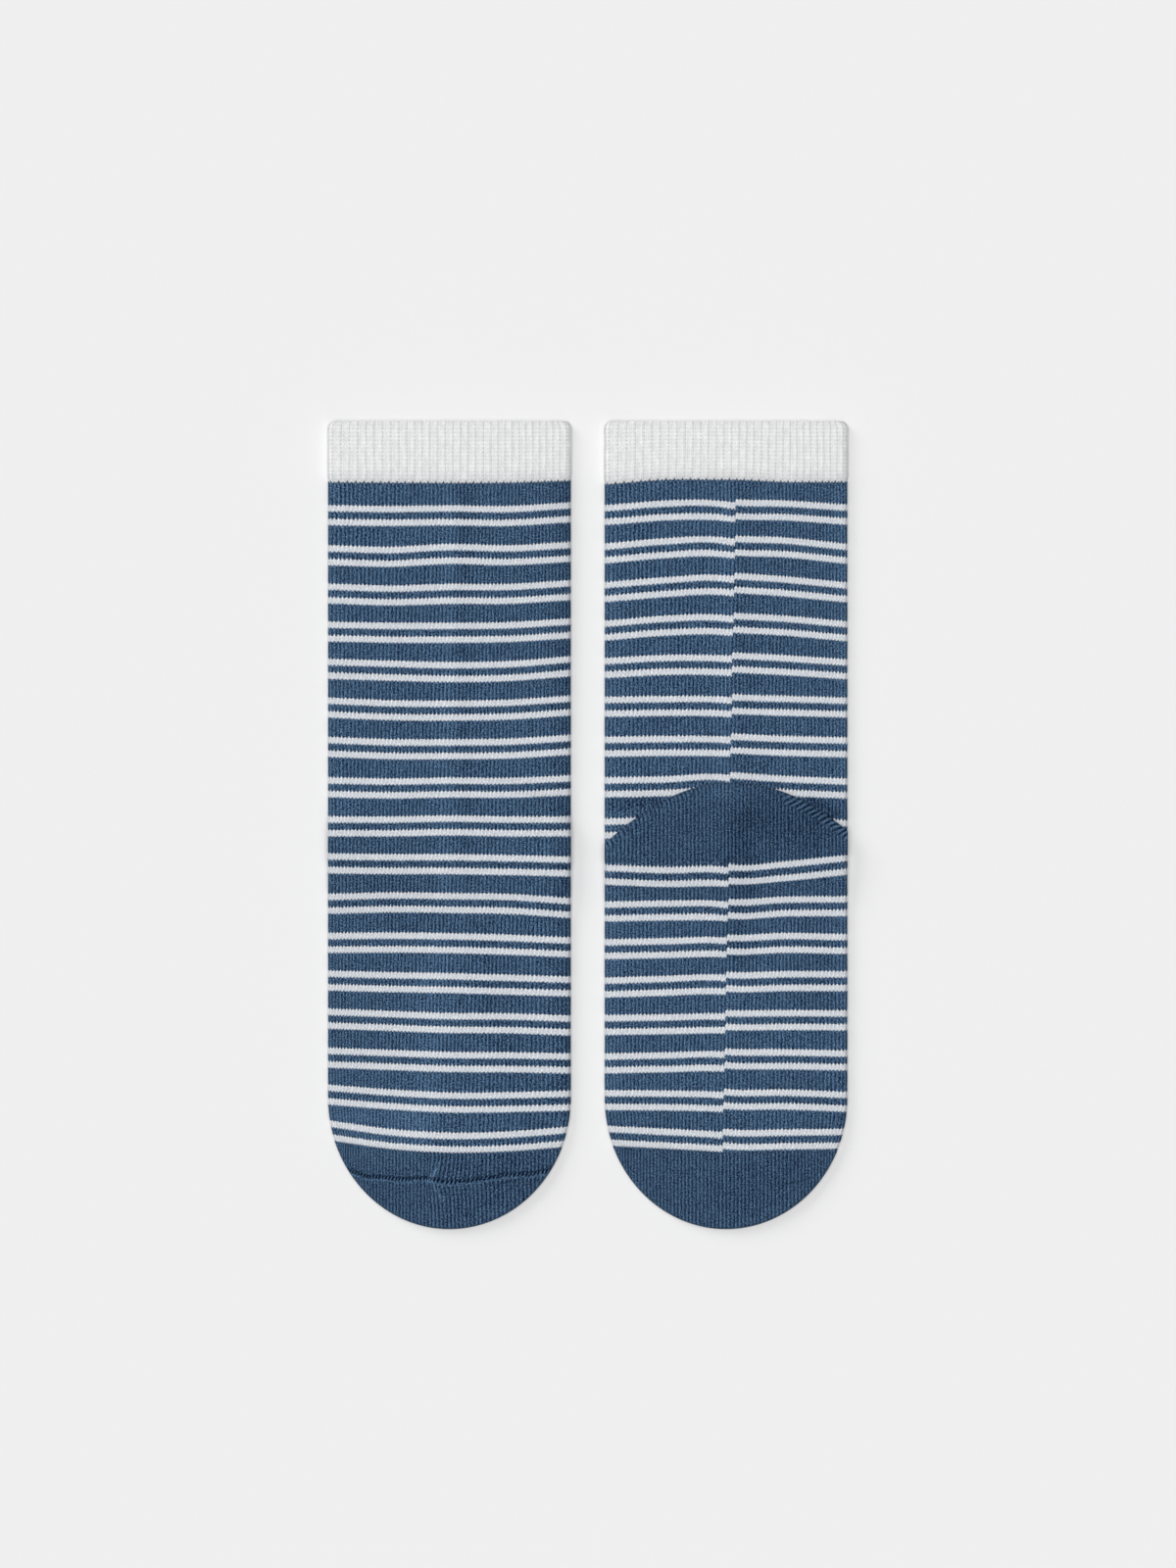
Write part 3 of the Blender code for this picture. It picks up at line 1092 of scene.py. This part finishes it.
@dataclass
class Heel(Sheet):
    """The short-row heel pocket: two layers folded flat into a dome, on top of the leg or beneath it."""

    base: float = 0.0
    rim: float = 0.12
    edge_depth: float = 2.0
    edge_share: float = 0.085
    bend: float = 0.7
    bend_depth: float = 3.5
    gore_across: tuple[float, float] = (0.454, -0.891)
    gore_from: float = 15.0
    gore_fade: float = 5.0
    gore_pitch: float = 1.5
    gore_width: float = 4.2

    def bent(self, x: Array, y: Array, wale: Array) -> Array:
        """A point's wale on the pocket: the wales bend outwards just inside the fold on its plain side."""
        depth = unit(1 - (self.form.dome(x) - y) / self.bend_depth)
        return wale + self.bend * unit(-x / 14.0) * depth**2

    def crown(self, x: Array, y: Array, wale: Array, course: Array) -> Array:
        """Shapes the jersey, and the slanting stitches where the short rows were joined.

        Args:
            x, y: places across and up the sock.
            wale, course: the same places in the knit.

        Returns:
            How high the knit stands.
        """
        plain = stitch_crown(wale, course, self.form.seed + 4)
        phase = (self.gore_across[0] * x + self.gore_across[1] * y) / self.gore_pitch
        phase = phase + 0.15 * lattice(x / 2.5, y / 2.5, self.form.seed + 5)
        gore = 1.7 * np.sin(math.pi * (phase % 1)) ** 1.5 - 0.5
        inside = unit((self.form.dome(x) - y) / self.gore_width)
        share = slope((inside - 0.6) / 0.4) * (1 - slope((x - self.gore_from) / self.gore_fade))
        return np.clip(plain * (1 - share) + gore * share, -0.5, 1.3)

    def sheet_points(self, mesh: ClothMesh, wales: Array, shares: Array, up: float) -> Array:
        """Adds one of the two sheets, from the dome's edge down to the heel line.

        Args:
            mesh: the piece that it belongs to.
            wales: the columns' wales.
            shares: how far down from the edge to the line each row lies, from 0 to 1.
            up: 1 for the upper sheet and -1 for the lower one.

        Returns:
            The points' numbers.
        """
        wale = np.repeat(wales[None], len(shares), axis=0)
        start = np.full_like(wale, self.form.heel_course)
        x, line, _, _ = self.form.press(wale, start + zigzag(wale, start))
        top = self.form.dome(x)
        y = top + (line - top) * shares[:, None]
        rounded = rounding(unit((top - y) / self.edge_depth))
        full = self.rim + (1 - self.rim) * rounding(unit((HALF_WIDTH - np.abs(x)) / FOLD)) * rounded
        knit_wale = self.bent(x, y, wale)
        course = self.form.course_of(x, y, knit_wale, self.form.heel_course)
        course = course - (1 - rounded) * HEEL_THICKNESS / 2 / COURSE
        crown = self.crown(x, y, knit_wale, course)
        proud = STITCH_DEPTH * (crown - 1) + (CROWN_PROUD if up > 0 else 0.0)
        middle = 0.5 - 0.44 * (1 - full) * unit(1.6 - x / 20.0)
        z = self.base + HEEL_THICKNESS * (middle + up * full / 2) + up * proud * full
        if up > 0 and self.base:
            z = z + self.form.softness(x, y) * full
            # Painted shade and light of the sock's creases and folds.
            crown = crown + self.form.tone(x, y)
        return mesh.add_points((x, y, z), knit_wale, course, crown)

    def build(self) -> bpy.types.Object:
        """Models the pocket's two sheets and the thin rim between them.

        Returns:
            The finished piece.
        """
        mesh = ClothMesh()
        fine_columns, fine_rows = (6, 75) if self.form.side_up is SideUp.HEEL else (2, 25)
        edge = (1 - np.cos(np.linspace(0.0, math.pi / 2, 7))) * self.edge_share
        fine_shares = np.concatenate([edge[:-1], np.linspace(self.edge_share, 1.0, fine_rows)])
        coarse_shares = np.concatenate([edge[:-1:2], np.linspace(self.edge_share, 1.0, 25)])
        fine, coarse = (wale_range(0, PANEL_WALES, count) for count in (fine_columns, 2))
        upper = self.sheet_points(mesh, fine, fine_shares, 1.0)
        lower = self.sheet_points(mesh, coarse, coarse_shares, -1.0)
        mesh.add_grid(upper)
        mesh.add_grid(lower, outward=False)
        mesh.add_strip(Edge(upper[0], fine), Edge(lower[0], coarse))
        mesh.add_strip(Edge(lower[-1], coarse), Edge(upper[-1], fine))
        mesh.add_strip(Edge(lower[:, 0], coarse_shares), Edge(upper[:, 0], fine_shares))
        mesh.add_strip(Edge(upper[:, -1], fine_shares), Edge(lower[:, -1], coarse_shares))
        return mesh.finish(self.piece_name(), self.form)


@dataclass
class Toe(Sheet):
    """The closed toe cap. Its linked seam crosses the instep side, with a small pucker."""

    rim: float = 0.1
    edge_share: float = 0.06
    per_wale: int = 6
    seam_across: tuple[float, ...] = (
        -30.5, -25.1, -20.6, -16.3, -12.7, -10.6, -6.7, -1.2, 5.3, 9.7, 14.5, 16.9, 24.8, 30.5
    )
    seam_heights: tuple[float, ...] = (
        18.1, 16.3, 16.2, 15.6, 15.5, 15.9, 15.9, 14.6, 15.0, 15.7, 16.3, 16.9, 17.2, 18.1
    )
    groove_depth: float = 0.24
    pucker: tuple[float, float] = (-7.3, 15.2)
    pucker_pull: float = 3.2
    pucker_ridges: tuple[SoftFold, ...] = soft_folds(
        (-6.9, 14.2, -4.7, 18.2, 0.36, 0.55),
        (-5.6, 15.0, -3.7, 18.7, 0.34, 0.55),
        (-4.4, 16.6, -3.0, 20.6, 0.45, 0.25),
        (-5.2, 13.8, -2.2, 9.4, 0.5, 0.3),
    )

    def wale_shift(self, x: Array, y: Array) -> Array:
        """Draws the knit aside towards the pucker, on the side that has it.

        Args:
            x, y: places across and up the sock.

        Returns:
            How many wales the knit is drawn at each place.
        """
        beside = np.clip(x - self.pucker[0], 0.0, None)
        near = np.exp(-np.abs(y - self.pucker[1]) / 5.0)
        pull = self.pucker_pull if self.form.side_up is SideUp.INSTEP else 0.0
        return pull * near * (1 - np.exp(-beside / 2.2)) * np.exp(-beside / 9.0) / WALE

    def seam(self, x: Array, y: Array, wale: Array) -> tuple[Array, Array]:
        """Shapes the linked seam: dark slanting dashes, with pale loops and a soft roll of cloth below.

        Args:
            x, y: places across and up the sock.
            wale: the same places across the knit.

        Returns:
            How far it lifts the cloth, and how much paler it makes it, with painted highlight on the pucker's
            ridges.
        """
        below = np.interp(x, self.seam_across, self.seam_heights) - y
        slanted = 2 * math.pi * (wale + 0.5 * below)
        dashes = bell(below + 0.3 * np.sin(slanted), 0.48) * (0.5 + 0.5 * np.cos(slanted)) ** 0.9
        groove = bell(below, 0.4)
        loops = (bell(below - 0.95, 0.45) + 0.25 * groove) * (0.5 - 0.5 * np.cos(slanted))
        ridges = lifts(self.pucker_ridges, x, y)
        lift = -self.groove_depth * groove + 0.4 * bell(below - 1.35, 0.9) + 0.15 * bell(below + 1.3, 0.9)
        # The pucker's ridges are lifted and also painted paler, a painted highlight.
        return lift + ridges, 0.75 * loops + 1.3 * ridges - 2.0 * dashes

    def sheet_points(
        self, mesh: ClothMesh, wales: Array, shares: Array, up: float, inset: float = 0.0, fold: float = FOLD
    ) -> Array:
        """Adds one sheet of the toe, from the toe line to its outline.

        Args:
            mesh: the piece that it belongs to.
            wales: the columns' wales.
            shares: how far down from the line to the outline each row lies, from 0 to 1.
            up: 1 for an upper sheet and -1 for a lower one.
            inset: how far inside the outer face it lies. An inner sheet has no stitches.
            fold: how far the fold at a side reaches in.

        Returns:
            The points' numbers.
        """
        wale = np.repeat(wales[None], len(shares), axis=0)
        start = np.full_like(wale, LAST_COURSE)
        if not inset:
            start = start + zigzag(wale, start)
        x, line, _, _ = self.form.press(wale, start, inset, fold)
        end = toe_outline(x, inset)
        y = end + np.maximum(line - end, 0.0) * (1 - shares[:, None])
        wide, deep, past = HALF_WIDTH - inset, TOE_DEPTH - inset, np.minimum(y - TOE_DEPTH, 0.0)
        ratio = np.hypot(x / wide, past / deep)
        steep = np.hypot(x / wide**2, past / deep**2) / np.maximum(ratio, 0.05)
        full = self.rim + (1 - self.rim) * rounding(unit((1 - ratio) / steep / fold))
        knit_wale = wale if inset else wale + self.wale_shift(x, y)
        course = self.form.course_of(x, y, knit_wale, LAST_COURSE) + (1 - full) * TOTAL / 2 / COURSE
        middle = 0.5 - 0.2 * (1 - full)
        z = inset + (middle + up * full / 2) * (TOTAL - inset - inset)
        crown = np.full_like(x, EVEN_CROWN)
        if not inset:
            crown = stitch_crown(knit_wale, course, self.form.seed + 6)
            proud = STITCH_DEPTH * (crown - 1) + (CROWN_PROUD if up > 0 else 0.0)
            if up > 0 and self.form.side_up is SideUp.INSTEP:
                lift, pale = self.seam(x, y, knit_wale)
                proud, crown = proud + lift, crown + pale
            z = z + up * proud * full
        if up > 0:
            z = z + full * self.form.softness(x, y)
            # Painted shade and light of the sock's creases and folds.
            crown = crown + self.form.tone(x, y)
        # The gaps between the wales close up on the thin rim, and their painted shade fades there.
        crown = EVEN_CROWN + (np.clip(crown, -1.4, 1.5) - EVEN_CROWN) * np.clip(full / 0.6, 0.3, 1.0)
        return mesh.add_points((x, y, z), knit_wale, course, crown)

    def bag(
        self, mesh: ClothMesh, upper: Array, lower: Array, spots: tuple[Array, Array], outward: bool
    ) -> Edge:
        """Joins two sheets along the outline, and returns the ring at their opening.

        Args:
            mesh: the piece that they belong to.
            upper: the upper sheet's points.
            lower: the lower sheet's points.
            spots: the wales of the upper sheet's columns and of the lower one's.
            outward: whether the faces look out of the toe.

        Returns:
            The opening's edge, from the left side over the upper sheet and back along the lower one.
        """
        for sheet in (upper, lower):
            # A side column is one point, where the toe line meets the outline.
            sheet[:, 0], sheet[:, -1] = sheet[0, 0], sheet[0, -1]
            facing = outward == (sheet is upper)
            mesh.add_grid(sheet[:, 1:-1], facing)
            sides = ((sheet[0, 0], sheet[:, 1], facing), (sheet[0, -1], sheet[:, -2], not facing))
            for hub, rim, turned in sides:
                fan = np.stack([np.full(len(rim) - 1, hub), rim[1:], rim[:-1]], axis=1)
                mesh.add_faces(fan if turned else fan[:, ::-1])
        edges = Edge(lower[-1], spots[1]), Edge(upper[-1], spots[0])
        mesh.add_strip(*(edges if outward else edges[::-1]))
        back = TUBE_WALES - spots[1][::-1]
        opening = Edge(np.concatenate([upper[0], lower[0][::-1]]), np.concatenate([spots[0], back]))
        return opening.closed(turn=0)

    def build(self) -> bpy.types.Object:
        """Models the cap's outer and inner bags and the rim of its opening.

        Returns:
            The finished piece.
        """
        mesh = ClothMesh()
        edge = 1 - self.edge_share * np.cos(np.linspace(0.0, math.pi / 2, 7))
        rows = 96 if self.form.side_up is SideUp.INSTEP else 72
        fine_shares = np.concatenate([np.linspace(0.0, 0.94, rows), edge[1:]])
        coarse_shares = np.concatenate([np.linspace(0.0, 0.94, 24), edge[2::2]])
        inner_shares = np.concatenate([np.linspace(0.0, 0.9, 8), edge[3::3]])
        fine, coarse, rough = (wale_range(0, PANEL_WALES, count) for count in (self.per_wale, 2, 1))
        openings = []
        for spots, shares, inset, fold in (
            ((fine, coarse), (fine_shares, coarse_shares), 0.0, FOLD),
            ((rough, rough), (inner_shares, inner_shares), WALL, SLIT_FOLD),
        ):
            upper = self.sheet_points(mesh, spots[0], shares[0], 1.0, inset, fold)
            lower = self.sheet_points(mesh, spots[1], shares[1], -1.0, inset, fold)
            openings.append(self.bag(mesh, upper, lower, spots, outward=not inset))
        mesh.add_strip(*openings)
        return mesh.finish(self.piece_name(), self.form)


@dataclass
class Leg(Tube):
    """The striped tube from the cuff to the heel."""

    settled_over: float = 5.0

    def give(self, x: Array, y: Array) -> Array:
        """The leg lies even where the heel lies on it."""
        shown = slope((self.form.dome(x) + self.settled_over - y) / self.settled_over)
        return super().give(x, y) if self.form.side_up is SideUp.INSTEP else shown


@dataclass
class Foot(Tube):
    """The striped tube from the heel to the toe."""


@dataclass
class Sock:
    """One whole sock: its cuff, leg, heel, foot and toe."""

    form: SockForm

    def build(self, finishes: dict[str, Material]) -> None:
        """Builds and dresses each piece from the cuff down.

        Args:
            finishes: the material for each slot.
        """
        form = self.form
        start, lies = form.heel_course, {"low": form.leg_low, "high": form.leg_high}
        heel_base = TOTAL + HEEL_GAP if form.side_up is SideUp.HEEL else 0.0
        pieces = (
            Cuff(form, "cuff", "cuff_rib", (0.150, 0.0191), "laid", first=-CUFF_COURSES, wall=1.2, **lies),
            Leg(form, "leg", "striped_jersey", (0.150, 0.1175), "laid", last=start, **lies),
            Heel(form, "heel", "plain_jersey", (0.075, 0.0245), "folded", 0.00138, base=heel_base),
            Foot(form, "foot", "striped_jersey", (0.150, 0.0885), "laid", first=start, last=LAST_COURSE,
                 high=form.foot_high),
            Toe(form, "toe", "plain_jersey", (0.138, 0.0245), "laid", 0.0024),
        )
        for piece in pieces:
            LOG.info("building the %s", piece.piece_name())
            piece.declare(piece.build(), finishes[piece.slot])


@dataclass
class Studio:
    """The paper that the socks lie on, soft light from above and from two sides, and the camera."""

    view_height: float = 0.4838
    view_middle: tuple[float, float] = (0.00008, 0.0127)
    camera_height: float = 3.0
    sensor: float = 36.0
    paper_size: float = 60.0
    sky: float = 0.08

    def add_paper(self) -> None:
        """Lays the paper on the surface's height, as far as low views can see."""
        bpy.ops.object.select_all(action="DESELECT")
        bpy.ops.mesh.primitive_plane_add(size=self.paper_size)
        paper = bpy.context.object
        paper.name = "paper"
        paper.data.materials.append(PaperSweep().make())

    def add_sun(self, name: str, strength: float, spread: float, elevation: float, azimuth: float) -> None:
        """Adds one wide, soft light.

        Args:
            name: its name.
            strength: how strong it is.
            spread: how wide it looks, in degrees.
            elevation: how high it stands, in degrees.
            azimuth: where it comes from, turned from +X towards +Y, in degrees.
        """
        light = bpy.data.lights.new(name, "SUN")
        light.energy = strength
        light.angle = math.radians(spread)
        lamp = bpy.data.objects.new(name, light)
        lamp.rotation_euler = (0.0, math.radians(90 - elevation), math.radians(azimuth))
        bpy.context.collection.objects.link(lamp)

    def add_camera(self) -> None:
        """Looks straight down through a long lens, with the whole pair in the frame."""
        data = bpy.data.cameras.new("camera")
        data.sensor_width = self.sensor
        data.lens = self.sensor * self.camera_height / self.view_height
        camera = bpy.data.objects.new("camera", data)
        camera.location = (*self.view_middle, self.camera_height)
        bpy.context.collection.objects.link(camera)
        bpy.context.scene.camera = camera

    def build(self) -> None:
        """Sets up the floor, the lights and the camera."""
        self.add_paper()
        self.add_sun("overhead_softbox", 2.34, 50.0, 90.0, 0.0)
        self.add_sun("side_softbox", 1.28, 34.0, 28.0, 140.0)
        self.add_sun("low_softbox", 0.4, 50.0, 38.0, 275.0)
        world = bpy.data.worlds.new("studio")
        world.use_nodes = True
        background = world.node_tree.nodes["Background"]
        background.inputs[0].default_value = (1.0, 1.0, 1.0, 1.0)
        background.inputs[1].default_value = self.sky
        bpy.context.scene.world = world
        bpy.context.scene.view_settings.view_transform = "Standard"
        self.add_camera()
        LOG.info("studio: paper, lights and camera")


LEFT_FORM = SockForm(
    name="left",
    place=-MIDDLE,
    side_up=SideUp.INSTEP,
    chart=LEFT_CHART,
    heel_course=118,
    dome_drops=(16.5, 16.5),
    dome_powers=(2.2, 2.2),
    lean=(2.4, -4.2),
    rounds_begin=99,
    folds=soft_folds(
        (2.4, 230, -4.2, 32, 1.6, 0.14),
        (-30, 160, 28, 150, 14, -0.15),
        (-20, 205, 30, 212, 12, 0.12),
        (-34, 95, -10, 60, 9, -0.14),
        (16, 78, 34, 50, 10, 0.12),
    ),
    # Painted shade and painted light along creases, folds and sides.
    painted_shading=soft_folds(
        (0.3, 232, -1.4, 104, 3.2, 0.17),
        (-4, 88, -7.4, 30, 5.5, 0.17),
        (4.2, 232, 4.6, 112, 2.8, -0.17),
        (4.6, 240, 5.4, 196, 3.4, -0.08),
        (9, 90, 16, 58, 6, -0.15),
        (-30, 121, -12, 94, 10, -0.09),
        (-36, 232, -36, 130, 3, 0.08),
        (36.5, 232, 36.5, 40, 4, -0.28),
        (-34, 34, -12, 34, 6, 0.2),
        (-32, 25, -12, 24, 5, 0.14),
        (22, 50, 28, 30, 7, -0.07),
        (0, 21, 26, 17, 6.5, -0.12),
        (4, 6, 20, 12, 6, -0.1),
    ),
    seed=11,
)

RIGHT_FORM = SockForm(
    name="right",
    place=MIDDLE,
    side_up=SideUp.HEEL,
    chart=RIGHT_CHART,
    heel_course=114,
    dome_drops=(18.9, 15.0),
    dome_powers=(1.85, 2.2),
    lean=(2.9, -1.1),
    rounds_begin=33,
    folds=soft_folds(
        (2.6, 230, -1, 32, 1.6, 0.1),
        (-28, 176, 30, 184, 13, -0.14),
        (-30, 214, 10, 206, 11, 0.12),
        (4, 96, 22, 58, 9, -0.12),
        (-32, 84, -12, 46, 10, 0.12),
    ),
    # Painted shade and painted light along creases, folds and sides.
    painted_shading=soft_folds(
        (0, 232, -1.2, 136, 2.8, 0.15),
        (5.2, 232, 6.4, 140, 4.2, -0.1),
        (-35.5, 222, -35.5, 40, 3, 0.14),
        (36.5, 226, 36.5, 136, 3.4, 0.18),
        (36.5, 100, 36.5, 50, 3.4, 0.1),
        (0, 76, -5, 44, 5, 0.06),
        (-4, 135, 12, 134, 4.5, 0.12),
        (5, 125, 4.6, 84, 4, -0.28),
        (26, 92, 30, 66, 6, -0.12),
        (12, 129, 27, 124, 8, -0.3),
        (25.5, 133.2, 33, 128.4, 1.5, -0.4),
        (-34, 131, -22, 132.5, 2.6, -0.35),
        (-30, 109, 30, 109, 6, -0.11),
        (-20, 124, -4, 127, 8, -0.07),
        (24, 44, 33, 38, 6, -0.08),
        (4, 12, 20, 18, 8, -0.13),
    ),
    seed=23,
)


def main() -> None:
    """Builds the studio and both socks."""
    logging.basicConfig(level=logging.INFO, format="%(name)s: %(message)s")
    Studio().build()
    # Each yarn's gap colour is painted shade for the hollows between its stitches.
    blue, dense_blue = Yarn("#00122C", "#6789AC"), Yarn("#001027", "#5F80A2")
    white, rib_white = Yarn("#B8BDC4", "#EEF0F3"), Yarn("#CECFD0", "#FFFFFE")
    rib = CottonKnit("white_rib_cotton", Pattern.RIB, rib_white, blue, leg_share=0.08, fluff_share=0.7,
                     length_share=0.6, pit_shade_share=1.0, usual_crown=0.64)
    finishes = {
        "cuff_rib": rib.make(),
        "striped_jersey": CottonKnit("striped_jersey_cotton", Pattern.STRIPED, blue, white).make(),
        "plain_jersey": CottonKnit("blue_jersey_cotton", Pattern.PLAIN, dense_blue, dense_blue).make(),
    }
    for form in (LEFT_FORM, RIGHT_FORM):
        Sock(form).build(finishes)


if __name__ == "__main__":
    main()
